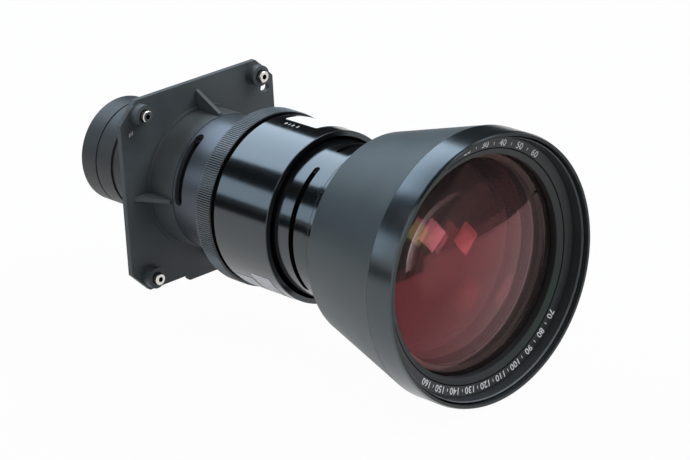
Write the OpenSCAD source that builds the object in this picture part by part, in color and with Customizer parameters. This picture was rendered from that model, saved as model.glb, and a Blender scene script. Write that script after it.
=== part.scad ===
// Short-throw projection lens with a square mounting plate, a knurled focus
// ring and a large front bell. Millimetres. The optical axis lies along Y and
// the large front glass faces -Y. The origin is on that axis, on the seat face
// at the back of the mounting plate. Inside each module the axis is +Z,
// towards the front glass, and on_axis() lays it along -Y.

/* [Mounting plate] */
// Side of the square plate
plate_w = 120; // [110:1:140]
// Corner chamfer, measured along each side
plate_chamfer = 12.8; // [8:0.1:14]
// Thickness of the plate
plate_t = 3.5; // [3:0.1:5]
// Width of the rounded tab under the plate
tab_w = 34; // [20:1:50]
// How far the tab reaches below the plate
tab_drop = 4.2; // [2:0.1:6]
// Thickness of the tab, from the seat face
tab_t = 2.3; // [1:0.1:2.9]
// Corner radius of the tab
tab_corner_r = 2.6; // [1:0.1:3]
// Length of the locating slot
slot_l = 6.8; // [6:0.1:8]
// Width of the locating slot
slot_w = 5; // [4:0.1:5.5]
// Distance from the locating slot to the plate's side edge
slot_edge_x = 6.8; // [6:0.1:10]
// Distance from the locating slot to the plate's top edge
slot_edge_z = 19.3; // [17:0.1:24]

/* [Corner screws] */
// Distance from a screw to the plate's side edge
screw_edge_x = 14.15; // [13:0.05:16]
// Distance from a screw to the plate's top or bottom edge
screw_edge_z = 8.6; // [8:0.05:11]
// Radius of the thread
thread_r = 2; // [1.8:0.1:2.2]
// Length of the thread on its end
thread_l = 3.9; // [3:0.1:5]
// How far the thread's shoulder stands behind the seat face
thread_drop = 1.1; // [0.6:0.1:2]
// Radius of the thin waist
waist_r = 1.45; // [1.2:0.05:1.6]
// Radius of the socket head
head_r = 3.5; // [3:0.1:4]
// Height of the socket head
head_h = 4; // [3:0.1:5]
// Distance across the flats of the hexagon socket
hex_w = 3; // [2.5:0.1:3.5]
// Depth of the hexagon socket
hex_depth = 2; // [1:0.1:2.5]
// How far a loosened screw can be drawn out
screw_travel = 5; // [3:0.1:6]
// Radius of the boss round each screw
boss_r = 6.4; // [5.6:0.1:7]
// Height of the boss above the plate
boss_h = 5.9; // [5:0.1:8]
// Depth of the pocket that takes the screw head
boss_pocket = 0.9; // [0.5:0.1:1.5]
// Width of the ring round the foot of the boss
boss_foot_w = 0.7; // [0.3:0.1:1]
// Height of the ring round the foot of the boss
boss_foot_h = 0.7; // [0.3:0.1:1]

/* [Hub] */
// How far the hub stands out beyond the satin sleeve
hub_step = 0.4; // [0.3:0.1:2.4]
// Length of the hub in front of the plate
hub_l = 20.7; // [16:0.1:26]
// Width of the raised ring at the foot of the hub
hub_foot_w = 2; // [1:0.1:4]
// Height of that ring
hub_foot_h = 1.7; // [1:0.1:3]
// Thickness of the hub's floor
hub_floor_t = 4.5; // [3:0.1:6]
// Thickness of each gusset
gusset_t = 2.4; // [1.5:0.1:4]
// Distance from a gusset's foot to the plate's edge
gusset_edge = 6; // [2:0.1:10]
// How far a gusset stands out from the hub at its top
gusset_top_w = 1.4; // [0.6:0.1:4]

/* [Fixed sleeve] */
// Wall of the satin sleeve
sleeve_wall = 3; // [2.6:0.1:3.2]
// Length of the sleeve that shows
sleeve_l = 33.3; // [28:0.1:40]
// How far the sleeve runs on under the focus ring
sleeve_under = 17.7; // [15.5:0.1:18.2]
// How much smaller the spigot in the hub is than the sleeve
spigot_step = 3.6; // [3.2:0.1:4.1]
// Wall of that spigot
spigot_wall = 2.5; // [2:0.1:2.8]
// Half the width of the arc slot
arc_half_w = 3.1; // [2.6:0.1:3.6]
// Distance from the hub to the middle of the arc slot
arc_back = 5; // [4.5:0.1:8]
// Angle of the arc slot's upper end, from +X towards up
arc_from = 122.3; // [110:0.1:130]
// Angle that the arc slot spans, between the centres of its ends
arc_span = 55.4; // [40:0.1:70]

/* [Rear barrel] */
// Outer radius of the barrel behind the plate
barrel_r = 32.9; // [32:0.1:33.2]
// Wall of the barrel
barrel_wall = 4.9; // [4.5:0.1:5.2]
// Length of the barrel behind the seat face, up to its rear ring
barrel_back_l = 57.3; // [55:0.1:62]
// Gap between the guide tube's end and the web of the front tube
guide_gap = 4; // [2:0.1:10]
// Width of the flange round the barrel
flange_w = 8.1; // [7.2:0.1:8.3]
// Thickness of the flange
flange_t = 3; // [2.5:0.1:3]
// Number of flange screws
flange_screws_n = 6; // [4:1:8]
// Distance from the barrel's surface to the circle of the flange screws
flange_screw_in = 4.1; // [3.6:0.1:4.7]
// Distance from the seat face back to the wide groove
groove_back = 41.3; // [36:0.1:44]
// Width of the wide groove
groove_w = 2.7; // [2:0.1:4]
// Depth of the wide groove
groove_depth = 1.2; // [0.6:0.1:1.6]
// Length of the ring at the rear end
rear_ring_l = 14.3; // [13.6:0.1:16]
// Width of the thin groove in front of the rear ring
rear_gap = 1.2; // [0.6:0.1:1.5]
// Chamfer at the rear end
rear_chamfer = 1; // [0.5:0.1:1.5]
// Wall of the rear ring
rear_ring_wall = 1.7; // [1.4:0.1:2]
// Thickness of the rear ring's lip
rear_lip_t = 2.8; // [2:0.1:3.5]
// How far the rear ring's lip covers the edge of its glass
rear_lip_w = 2.4; // [1.4:0.1:4]

/* [Focus ring] */
// How far the knurled ring stands out from the glossy sleeve
knurl_step = 1.5; // [0.9:0.1:2.5]
// Length of the knurled ring
knurl_l = 12.5; // [11:0.1:15]
// Chamfer of the knurled ring's edges
knurl_chamfer = 0.6; // [0.3:0.1:1]
// Thickness of the knurled ring's rear wall
knurl_wall_t = 3.5; // [3:0.1:4.5]
// Width of the black groove in front of the knurled ring
focus_gap = 2.1; // [1.5:0.1:3]
// Depth of the black groove
focus_groove = 2; // [1.1:0.1:2.5]
// Gap between the front tube and the glossy sleeve
tube_gap = 1.8; // [1.3:0.1:2.3]
// Wall of the glossy sleeve
focus_wall = 3.2; // [2.6:0.1:3.6]
// Length of the glossy sleeve
focus_l = 45; // [40:0.1:50]
// Thickness of the flange inside the glossy sleeve
focus_flange_t = 4; // [3.8:0.1:5]
// Wall of the drive tube
drive_wall = 2.1; // [1.9:0.05:2.2]
// Thickness of the drive tube's flange
drive_flange_t = 3.5; // [3:0.1:4]
// Radius of the stop roller in the arc slot
stop_r = 3; // [2.4:0.1:3]
// Number of screws that hold the drive tube
drive_screws_n = 6; // [3:1:8]

/* [Front tube] */
// How far the front tube stands out beyond the satin sleeve
tube_step = 4.9; // [4.4:0.1:5.4]
// Wall of the front tube
tube_wall = 4.5; // [4.4:0.1:4.6]
// How far the front tube lies inside the glossy sleeve
tube_inside = 17.1; // [12:0.1:22]
// Distance from the glossy sleeve to the bell
tube_bare = 45.3; // [42:0.1:50]
// How far the web at the tube's back reaches inside the barrel's radius
web_step = 1.9; // [1:0.1:4]
// Thickness of the web that closes the tube's back
tube_web_t = 6; // [5:0.1:8]
// Wall of the helicoid tail
tail_wall = 3.42; // [3.3:0.02:3.6]
// Length of the helicoid tail behind the front tube
tail_l = 58; // [50:1:62]
// How far the front tube moves out
front_travel = 6; // [4:0.1:6]
// Half the width of the tube's ring slots
ring_slot_half_w = 2.05; // [2.05:0.05:2.4]
// Distance from the glossy sleeve to the middle of the ring slots
ring_slot_front = 15.6; // [14:0.1:18]
// Angle of the first ring slot's start, from +X towards up
ring_slot_from = 120.5; // [115:0.1:125]
// Angle that a ring slot spans, between the centres of its ends
ring_slot_span = 96; // [92:1:100]
// Number of ring slots, and of pins that run in them
ring_slots = 3; // [3:1:3]
// Radius of the pins in the ring slots
pin_r = 2; // [1.5:0.1:2]

/* [Bell] */
// How far the bell's rear edge stands out from the front tube
bell_step = 14.2; // [13.5:0.1:15.5]
// Length of the bell's cone
cone_l = 66; // [62:0.1:70]
// How much the cone widens to the front band
cone_rise = 18; // [17.7:0.1:19.3]
// Length of the front band
band_l = 16.8; // [14:0.1:18]
// Length of the lip in front of the band
lip_l = 2; // [1.5:0.1:3]
// How far the lip tapers in
lip_taper = 0.7; // [0.3:0.1:1]
// Wall of the bell
bell_wall = 3.5; // [3:0.1:3.8]
// Length of the collar that turns on the front tube
collar_l = 16.9; // [14:0.1:18]
// Wall of that collar
collar_wall = 2; // [1.5:0.1:3]
// Number of set screws in the collar
collar_screws_n = 3; // [2:1:4]
// Radius of those set screws
collar_screw_r = 1.2; // [1:0.1:1.3]
// Angle of the first set screw, from +X towards up
collar_screw_angle = 137.6; // [120:0.1:150]

/* [Front rings] */
// Wall of the rim
rim_wall = 2.4; // [2.1:0.1:2.7]
// Depth of the trim ring's foot below the rim
trim_foot_depth = 9.4; // [9:0.1:10]
// Height of the trim ring's foot
trim_foot_h = 3.2; // [2:0.1:4]
// Height of the trim ring
trim_h = 6.9; // [5:0.1:7.5]
// Width of the black groove round the trim ring
trim_groove_w = 1.1; // [0.8:0.1:1.4]
// How far the trim ring's back stands in from the rim
trim_back_w = 2.35; // [2.1:0.05:2.8]
// How far the trim ring's front stands in from the rim
trim_front_w = 1.35; // [1.3:0.05:1.9]
// Width of the name ring
name_w = 6.4; // [5.95:0.05:6.95]
// Thickness of the name ring at its outer edge
name_t = 2; // [1.5:0.1:2.4]
// How far the name ring's face drops towards its middle
name_dish = 1; // [0.5:0.1:1.3]
// Width of the front retaining ring
front_ring_w = 3.85; // [3.05:0.05:5.55]
// How far its face drops towards its middle
front_ring_dish = 2.1; // [1:0.1:3]
// Thickness of the front retaining ring at its outer edge
front_ring_t = 6.6; // [5:0.1:7.5]

/* [Glass] */
// How much smaller the front glass is than the hole of the name ring
front_glass_in = 1.65; // [1.15:0.05:2.2]
// Edge thickness of the front glass
front_glass_t = 6; // [5:0.1:7]
// Radius of the front glass's front face
front_glass_out_r = 220; // [210:1:260]
// Radius of the front glass's hollow rear face
front_glass_in_r = 180; // [175:1:230]
// How much smaller the second glass is than the front one
second_glass_in = 4.4; // [3.9:0.1:4.9]
// Edge thickness of the second glass
second_glass_t = 12; // [10:0.1:13]
// How much smaller the third glass is than the second one
third_glass_in = 11.5; // [10.5:0.1:12.5]
// Edge thickness of the third glass
third_glass_t = 8; // [7:0.1:9]
// How much smaller the tube's glass is than the tube's bore
tube_glass_in = 2.1; // [1.8:0.1:3]
// Edge thickness of the glass in the front tube
tube_glass_t = 8; // [6:0.1:9]
// Wall of the rear ring round its glass
rear_glass_wall = 1.8; // [1.4:0.1:2.4]
// Edge thickness of the glass at the rear end
rear_glass_t = 6; // [5:0.1:7]
// Edge thicknesses of the four glasses in the barrel, from the rear
barrel_glass_1_t = 8; // [6:0.1:9]
barrel_glass_2_t = 12; // [10:0.1:13]
barrel_glass_3_t = 7; // [6:0.1:8]
barrel_glass_4_t = 8; // [6:0.1:9]
// Radius of the hole in the aperture stop
stop_hole_r = 12; // [8:0.1:16]

/* [Labels] */
// Thickness of the paper labels
label_t = 0.2; // [0.1:0.05:0.3]
// Width of the long label along the sleeve
long_label_w = 26.5; // [20:0.1:30]
// Width of each short label along the sleeve
short_label_w = 15.8; // [12:0.1:16]

// Angle of the long label's first edge, from +X towards up
long_label_from = 57; // [40:0.5:70]
// Angle that the long label spans
long_label_span = 30.5; // [20:0.5:40]
// Angle at which both short labels end
short_label_to = 246; // [235:0.5:260]
// Angle that the rear short label spans
short_rear_span = 27.5; // [20:0.5:35]
// Angle that the front short label spans
short_front_span = 35; // [25:0.5:40]
/* [Hidden] */
$fn = 96;
// Sides of the spheres that shape the glasses
glass_fn = 288;

// Overrun of every cut beyond the face that it opens
cut = 1;
// Radial clearance of parts that run on each other
run_gap = 0.06;
// Radial clearance of parts that stay seated
seat_gap = 0.04;
// Gap between end faces that must not meet
face_gap = 0.3;
// How much narrower a slot is than its round ends, on each side
slot_ease = 0.02;

// Radii, each from the piece that it runs on or sits in
drive_bore_r = barrel_r + tail_wall + 2 * run_gap;
drive_r = drive_bore_r + drive_wall;
sleeve_bore_r = drive_r + run_gap;
sleeve_r = sleeve_bore_r + sleeve_wall;
spigot_r = sleeve_r - spigot_step;
hub_r = sleeve_r + hub_step;
hub_foot_r = hub_r + hub_foot_w;
gusset_foot_r = plate_w / 2 - gusset_edge;
gusset_top_r = hub_r + gusset_top_w;
flange_r = barrel_r + flange_w;
flange_screw_circle_r = barrel_r + flange_screw_in;
rear_glass_r = barrel_r - rear_ring_wall - rear_glass_wall;
rear_lip_r = rear_glass_r - rear_lip_w;
tube_r = sleeve_r + tube_step;
tube_bore_r = tube_r - tube_wall;
focus_bore_r = tube_r + tube_gap;
focus_r = focus_bore_r + focus_wall;
focus_spigot_r = focus_r - focus_groove;
knurl_r = focus_r + knurl_step;
bell_back_r = tube_r + bell_step;
band_r = bell_back_r + cone_rise;
rim_bore_r = band_r - rim_wall;
trim_back_r = rim_bore_r - trim_back_w;
trim_front_r = rim_bore_r - trim_front_w;
name_r = trim_back_r - name_w;
front_ring_r = name_r - front_ring_w;
front_glass_r = name_r - front_glass_in;
second_glass_r = front_glass_r - second_glass_in;
third_glass_r = second_glass_r - third_glass_in;
tube_glass_r = tube_bore_r - tube_glass_in;
web_hole_r = barrel_r - web_step;

// Stations along the axis, from the seat face
hub_front = plate_t + hub_l;
hub_floor_front = plate_t + hub_floor_t;
knurl_back = hub_front + sleeve_l;
knurl_front = knurl_back + knurl_l;
focus_back = knurl_front + focus_gap;
focus_front = focus_back + focus_l;
tube_back = focus_front - tube_inside;
guide_l = tube_back - guide_gap;
bell_back = focus_front + tube_bare;
band_back = bell_back + cone_l;
band_front = band_back + band_l;
rim_front = band_front + lip_l;

// Plate and corner screws
head_seat = plate_t + boss_h - boss_pocket;
pocket_gap = 0.5;
screw_gap = 0.08;
thread_stop = screw_travel - thread_drop + screw_gap;
thread_tip_l = 0.5;
overlap = 1;
gusset_inset = 0.7;

// Radii of the glasses' ground faces
rear_bulge_r = 200;
rear_hollow_r = 150;
glass_1_curve = 70;
glass_2_curve = 90;
glass_3_curve = 80;
glass_4_curve = 60;
tube_glass_curve = 180;
third_glass_curve = 150;
second_glass_curve = 230;
second_notch_angle = 23.8;

// How far each label starts in front of the focus sleeve's back end
long_label_in = 6.9;
short_label_rear_in = 3.5;
short_label_front_in = 21.4;

// Fixed sleeve
sleeve_front = knurl_back + sleeve_under;
sleeve_floor_t = 1.2;
spigot_bore_r = spigot_r - spigot_wall;
arc_z = hub_front + arc_back;

// Rear barrel and its glasses
barrel_bore_r = barrel_r - barrel_wall;
flange_back = plate_t - flange_t;
flange_hole_gap = 0.3;
flange_screw_r = 1.5;
flange_head_r = 2.9;
flange_head_h = 1.5;
flange_screw_l = 6;
small_hex_w = 2;
small_hex_depth = 1;
ring_gap_depth = 0.6;
rear_ring_front = -barrel_back_l - rear_gap;
rear_end = rear_ring_front - rear_ring_l;
rear_glass_back = rear_end + rear_lip_t;
rear_glass_front = rear_glass_back + rear_glass_t;
rear_spigot_r = barrel_r - rear_ring_wall;
rear_light_in = 0.5;
dome_in = 1;
rear_light_r = rear_lip_r - rear_light_in;
rear_step_l = 11.5;
key_count = 3;
key_w = 5;
key_l = 12;
key_depth = 1.4;
key_back = 4;
keyway_back = 38;
key_bed_share = 0.6;
spacer_wall = 2.5;
spacer_1_l = 14;
spacer_2_l = 22;
spacer_3_l = 27;
stop_t = 2;
stop_clear = 2;
lock_ring_t = 4;
stack_r = barrel_bore_r - seat_gap;
dome_r = stack_r - spacer_wall - seat_gap;
dome_step = 0.1;
stack_0 = rear_glass_front + rear_step_l;
stack_1 = stack_0 + barrel_glass_1_t;
stack_2 = stack_1 + spacer_1_l;
stack_3 = stack_2 + barrel_glass_2_t;
stack_4 = stack_3 + spacer_2_l;
stack_5 = stack_4 + barrel_glass_3_t;
stack_6 = stack_5 + stop_t;
stack_7 = stack_6 + spacer_3_l;
stack_8 = stack_7 + barrel_glass_4_t;
stack_9 = stack_8 + lock_ring_t;

// Focus ring
focus_spigot_wall = 5;
focus_spigot_back = knurl_back + knurl_wall_t;
focus_flange_front = focus_back + focus_flange_t;
focus_bearing_r = sleeve_r + run_gap;
focus_edge = 0.4;
drive_back = hub_front + sleeve_floor_t + face_gap;
drive_front = focus_flange_front + drive_flange_t;
drive_screw_r = 1.25;
drive_head_r = 2.2;
drive_head_h = 1.5;
drive_screw_l = 5;
drive_screw_circle_r = (focus_bearing_r + focus_bore_r) / 2;
stop_angle = arc_from + 0.2;
stop_sink = 0.5;
stop_stem_r = 1.5;

// Front tube
tail_r = drive_bore_r - run_gap;
tail_bore_r = barrel_r + run_gap;
tail_back = tube_back - tail_l;
key_bed = key_bed_share * (tail_r - tail_bore_r);
web_front = tube_back + tube_web_t;
tube_seat_r = tube_glass_r + seat_gap;
tube_seat_l = 17;
tube_seat_front = web_front + tube_seat_l;
tube_lock_wall = 3.5;
ring_slot_z = focus_front + ring_slot_front;
pin_start = 0.5;
pin_sink = 0.6;
pin_root = 2.4;
pin_slot_w = 0.7;
pin_slot_depth = 0.7;

// Bell
collar_back = bell_back - collar_l;
collar_bore_r = tube_r + run_gap;
collar_r = collar_bore_r + collar_wall;
bell_wall_t = 4;
collar_screw_inset = 1.7;
collar_hex_w = 1.3;
collar_hex_depth = 0.8;
cone_slope_share = (band_r - bell_back_r) / cone_l;
name_front = rim_front - trim_foot_depth;
name_back = name_front - name_t;
trim_foot_back = name_front - trim_foot_h;
ledge_w = 4.95;
ledge_r = trim_back_r - ledge_w;
ledge_l = 4;

// Lens cell in the bell
cell_flange_t = 9.3;
cell_flange_back = name_back - cell_flange_t;
ledge_back = cell_flange_back - ledge_l;
cell_flange_r = trim_back_r - seat_gap;
cell_neck_r = ledge_r - seat_gap;
cell_back_gap = 9.6;
cell_back = bell_back + bell_wall_t + cell_back_gap;
cell_wall_t = 4;
tube_front = cell_back - face_gap;
cell_spigot_r = tube_bore_r - run_gap;
cell_spigot_wall = 3;
cell_spigot_bore_r = cell_spigot_r - cell_spigot_wall;
cell_spigot_l = 49.5;
cell_shell = 4;
third_seat_r = third_glass_r + seat_gap;
third_back = cell_back + cell_wall_t;
third_front = third_back + third_glass_t;
third_relief_l = 2;
third_bore_front = third_front + lock_ring_t + third_relief_l;
third_lip = 3.5;
third_light_r = third_glass_r - third_lip;
middle_step = 5;
middle_bore_r = second_glass_r - middle_step;
second_seat_r = second_glass_r + seat_gap;
second_ring_wall = 2.75;
second_ring_t = 4.3;
front_ring_out_r = name_r - 2 * seat_gap;
thread_bore_r = name_r - seat_gap;
front_ring_front = name_front - name_dish;
front_ring_back = front_ring_front - front_ring_t;
front_glass_ease = 0.05;
front_glass_rise = sag(front_glass_out_r, front_glass_r) - sag(front_glass_out_r, front_ring_r);
front_glass_front = front_ring_back - front_glass_rise - front_glass_ease;
front_glass_back = front_glass_front - front_glass_t;
front_glass_flat = 4.9;
front_glass_hollow_r = front_glass_r - front_glass_flat;
front_seat_r = front_glass_r + seat_gap;
second_ring_gap = 1.2;
second_ring_front = front_glass_back - second_ring_gap;
second_front = second_ring_front - second_ring_t;
second_back = second_front - second_glass_t;
cell_screw_r = 1.25;
cell_screw_head_r = 2.2;
cell_screw_head_h = 1.5;
cell_screw_in = 3.05;
cell_screw_circle_r = trim_back_r - cell_screw_in;
cell_screw_inset = 5;
cell_screw_seat = cell_flange_back + cell_screw_inset;
cell_screws_n = 6;

// Lays a module's +Z axis along -Y, so that its +Y points up
module on_axis() {
    rotate([90, 0, 0]) children();
}

// A ring between two radii, from one station to another
module ring(r_out, r_in, from, to) {
    translate([0, 0, from]) difference() {
        cylinder(r = r_out, h = to - from);
        translate([0, 0, -cut]) cylinder(r = r_in, h = to - from + 2 * cut);
    }
}

// Copies of a piece round the axis
module round_axis(count, first) {
    for (i = [0 : count - 1]) rotate([0, 0, first + i * 360 / count]) children();
}

// Stands a piece on the axis, its own +Z pointing outward along +X
module outward(station) {
    translate([0, 0, station]) rotate([0, 90, 0]) children();
}

function sag(curve, r) = curve - sqrt(curve * curve - r * r);

// Rounds the front of a glass whose edge ends at a station
module bulge_front(curve, r, at) {
    intersection() {
        children();
        translate([0, 0, at + sag(curve, r) - curve]) sphere(r = curve, $fn = glass_fn);
    }
}

// A dome inside a glass's flat rim, rising from zero
module dome(curve, r) {
    intersection() {
        translate([0, 0, -overlap]) cylinder(r = r, h = sag(curve, r) + 2 * overlap);
        translate([0, 0, dome_step + sag(curve, r) - curve]) sphere(r = curve, $fn = glass_fn);
    }
}

module dome_front(curve, r, at) {
    translate([0, 0, at]) dome(curve, r);
}

module dome_back(curve, r, at) {
    translate([0, 0, at]) mirror([0, 0, 1]) dome(curve, r);
}

// Hollows the front of a glass inside a radius
module hollow_front(curve, r, at) {
    difference() {
        children();
        translate([0, 0, at - sag(curve, r) + curve]) sphere(r = curve, $fn = glass_fn);
    }
}

// Hollows the back of a glass inside a radius
module hollow_back(curve, r, at) {
    difference() {
        children();
        translate([0, 0, at + sag(curve, r) - curve]) sphere(r = curve, $fn = glass_fn);
    }
}

module disc(r, from, to) {
    translate([0, 0, from]) cylinder(r = r, h = to - from);
}

// A lock ring with two spanner notches in its front face
module lock_ring(r_out, r_in, from, to, angle) {
    notch_w = 2.4;
    notch_depth = 1.4;
    difference() {
        ring(r_out, r_in, from, to);
        rotate([0, 0, angle])
            translate([-r_out - cut, -notch_w / 2, to - notch_depth])
                cube([2 * (r_out + cut), notch_w, notch_depth + cut]);
    }
}

// A screw standing on the axis: a flat head, its top at zero, then the thread
module cap_screw(r, r_head, h_head, length) {
    difference() {
        union() {
            translate([0, 0, -h_head]) cylinder(r = r_head, h = h_head);
            translate([0, 0, -h_head - length]) cylinder(r = r, h = length + h_head / 2);
        }
        translate([0, 0, -small_hex_depth])
            cylinder(r = small_hex_w / 2 / cos(30), h = small_hex_depth + cut, $fn = 6);
    }
}

module plate_blank() {
    half = plate_w / 2;
    low = half - plate_chamfer;
    linear_extrude(height = plate_t)
        polygon([[low, -half], [half, -low], [half, low], [low, half],
                 [-low, half], [-half, low], [-half, -low], [-low, -half]]);
}

// The thin rounded tab under the plate
module plate_tab() {
    half = tab_w / 2;
    bottom = -plate_w / 2 - tab_drop;
    translate([-half, bottom + tab_corner_r, 0])
        cube([tab_w, tab_drop - tab_corner_r + overlap, tab_t]);
    translate([-half + tab_corner_r, bottom, 0])
        cube([tab_w - 2 * tab_corner_r, tab_drop + overlap, tab_t]);
    for (side = [-1, 1])
        translate([side * (half - tab_corner_r), bottom + tab_corner_r, 0])
            cylinder(r = tab_corner_r, h = tab_t);
}

module gusset() {
    rotate([90, 0, 0]) translate([0, 0, -gusset_t / 2]) linear_extrude(height = gusset_t)
        polygon([[hub_r - overlap, plate_t - overlap], [gusset_foot_r, plate_t - overlap],
                 [gusset_foot_r, plate_t], [gusset_top_r, hub_front - gusset_inset],
                 [hub_r - overlap, hub_front - gusset_inset]]);
}

module at_screw(side, up) {
    half = plate_w / 2;
    translate([side * (half - screw_edge_x), up * (half - screw_edge_z), 0]) children();
}

module boss() {
    cylinder(r = boss_r, h = plate_t + boss_h);
    cylinder(r = boss_r + boss_foot_w, h = plate_t + boss_foot_h);
}

module boss_bore() {
    translate([0, 0, -cut]) cylinder(r = thread_r + screw_gap, h = thread_stop + cut);
    translate([0, 0, -cut]) cylinder(r = waist_r + screw_gap, h = head_seat + 2 * cut);
    translate([0, 0, head_seat]) cylinder(r = head_r + pocket_gap, h = boss_pocket + cut);
}

module locating_slot() {
    slot_x = plate_w / 2 - slot_edge_x;
    slot_up = plate_w / 2 - slot_edge_z;
    for (side = [-1, 1])
        translate([slot_x + side * (slot_l - slot_w) / 2, slot_up, -cut])
            cylinder(r = slot_w / 2, h = plate_t + 2 * cut);
    translate([slot_x - (slot_l - slot_w) / 2, slot_up - slot_w / 2, -cut])
        cube([slot_l - slot_w, slot_w, plate_t + 2 * cut]);
}

module mounting_plate() {
    color("#3c4042") on_axis() difference() {
        union() {
            plate_blank();
            plate_tab();
            cylinder(r = hub_r, h = hub_front);
            cylinder(r = hub_foot_r, h = plate_t + hub_foot_h);
            round_axis(4, 0) gusset();
            for (side = [-1, 1], up = [-1, 1]) at_screw(side, up) boss();
        }
        translate([0, 0, -cut]) cylinder(r = flange_r + seat_gap, h = plate_t + cut);
        cylinder(r = barrel_r + flange_hole_gap, h = hub_front);
        translate([0, 0, hub_floor_front])
            cylinder(r = spigot_r + seat_gap, h = hub_front - hub_floor_front + cut);
        for (side = [-1, 1], up = [-1, 1]) at_screw(side, up) boss_bore();
        locating_slot();
        round_axis(flange_screws_n, 90)
            translate([flange_screw_circle_r, 0, 0])
                cylinder(r = flange_screw_r + seat_gap, h = hub_floor_front);
    }
}

module captive_screw(side, up) {
    on_axis() at_screw(side, up) difference() {
        union() {
            translate([0, 0, head_seat]) cylinder(r = head_r, h = head_h);
            translate([0, 0, -thread_drop - overlap])
                cylinder(r = waist_r, h = head_seat + thread_drop + 2 * overlap);
            translate([0, 0, -thread_drop - thread_l + thread_tip_l])
                cylinder(r = thread_r, h = thread_l - thread_tip_l);
            translate([0, 0, -thread_drop - thread_l])
                cylinder(r1 = thread_r - thread_tip_l, r2 = thread_r, h = thread_tip_l);
        }
        translate([0, 0, head_seat + head_h - hex_depth])
            cylinder(r = hex_w / 2 / cos(30), h = hex_depth + cut, $fn = 6);
    }
}

module captive_screw_top_left() {
    color("#b9bcbe") captive_screw(-1, 1);
}

module captive_screw_top_right() {
    color("#b9bcbe") captive_screw(1, 1);
}

module captive_screw_bottom_left() {
    color("#b9bcbe") captive_screw(-1, -1);
}

module captive_screw_bottom_right() {
    color("#b9bcbe") captive_screw(1, -1);
}

// The slot that the stop roller runs in
module arc_slot() {
    half = arc_half_w - slot_ease;
    translate([0, 0, arc_z - half]) rotate([0, 0, arc_from])
        rotate_extrude(angle = arc_span)
            translate([sleeve_bore_r - cut, 0])
                square([sleeve_wall + 2 * cut, 2 * half]);
    for (angle = [arc_from, arc_from + arc_span])
        rotate([0, 0, angle]) outward(arc_z)
            translate([0, 0, sleeve_bore_r - 2 * cut])
                cylinder(r = arc_half_w, h = sleeve_wall + 4 * cut);
}

module fixed_sleeve() {
    floor_front = hub_front + sleeve_floor_t;
    color("#5d6270") on_axis() difference() {
        rotate_extrude()
            polygon([[spigot_bore_r, hub_floor_front + face_gap], [spigot_r, hub_floor_front + face_gap],
                     [spigot_r, hub_front], [sleeve_r, hub_front], [sleeve_r, sleeve_front],
                     [sleeve_bore_r, sleeve_front], [sleeve_bore_r, floor_front],
                     [spigot_bore_r, floor_front]]);
        arc_slot();
    }
}

module rear_barrel() {
    wide_back = -groove_back - groove_w;
    color("#26282a") on_axis() difference() {
        rotate_extrude()
            polygon([[rear_light_r, rear_glass_front], [rear_spigot_r, rear_glass_front],
                     [rear_spigot_r, rear_ring_front], [barrel_r - ring_gap_depth, rear_ring_front],
                     [barrel_r - ring_gap_depth, -barrel_back_l], [barrel_r, -barrel_back_l],
                     [barrel_r, wide_back], [barrel_r - groove_depth, wide_back],
                     [barrel_r - groove_depth, -groove_back], [barrel_r, -groove_back],
                     [barrel_r, flange_back], [flange_r, flange_back], [flange_r, plate_t],
                     [barrel_r, plate_t], [barrel_r, guide_l], [barrel_bore_r, guide_l],
                     [barrel_bore_r, stack_0], [rear_light_r, stack_0]]);
        round_axis(key_count, 30) keyway();
        round_axis(flange_screws_n, 90) translate([flange_screw_circle_r, 0, flange_back - cut]) {
            cylinder(r = flange_screw_r + seat_gap, h = flange_t + 2 * cut);
            cylinder(r = flange_head_r + seat_gap, h = cut + flange_head_h);
        }
    }
}

module keyway() {
    translate([barrel_r - key_depth, -key_w / 2, keyway_back])
        cube([key_depth + cut, key_w, guide_l - keyway_back + cut]);
}

module flange_screws() {
    color("#6a6c6e") on_axis() round_axis(flange_screws_n, 90)
        translate([flange_screw_circle_r, 0, flange_back]) rotate([180, 0, 0])
            cap_screw(flange_screw_r, flange_head_r, flange_head_h, flange_screw_l - flange_head_h);
}

module rear_end_ring() {
    color("#202224") on_axis() rotate_extrude()
        polygon([[rear_lip_r, rear_end], [barrel_r - rear_chamfer, rear_end],
                 [barrel_r, rear_end + rear_chamfer], [barrel_r, rear_ring_front],
                 [rear_spigot_r + seat_gap, rear_ring_front], [rear_spigot_r + seat_gap, rear_glass_front],
                 [rear_glass_r + seat_gap, rear_glass_front], [rear_glass_r + seat_gap, rear_glass_back],
                 [rear_lip_r, rear_glass_back]]);
}

module rear_glass() {
    color("#8c7f9a") on_axis()
        hollow_front(rear_hollow_r, rear_light_r - dome_in, rear_glass_front) {
            disc(rear_glass_r, rear_glass_back, rear_glass_front);
            dome_back(rear_bulge_r, rear_lip_r - seat_gap, rear_glass_back);
        }
}

module barrel_glass_1() {
    color("#8c7f9a") on_axis() {
        disc(stack_r, stack_0, stack_1);
        dome_front(glass_1_curve, dome_r, stack_1);
        dome_back(2 * glass_1_curve, dome_r, stack_0);
    }
}

module barrel_spacer_1() {
    color("#1b1c1d") on_axis() ring(stack_r, stack_r - spacer_wall, stack_1, stack_2);
}

// Two glasses cemented together, modelled as one block
module barrel_glass_2() {
    color("#8c7f9a") on_axis()
        hollow_back(glass_2_curve, dome_r, stack_2) {
            disc(stack_r, stack_2, stack_3);
            dome_front(glass_2_curve, dome_r, stack_3);
        }
}

module barrel_spacer_2() {
    color("#1b1c1d") on_axis() ring(stack_r, stack_r - spacer_wall, stack_3, stack_4);
}

module barrel_glass_3() {
    color("#8c7f9a") on_axis()
        hollow_front(glass_3_curve, stop_hole_r + stop_clear, stack_5) {
            disc(stack_r, stack_4, stack_5);
            dome_back(glass_3_curve, dome_r, stack_4);
        }
}

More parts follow.
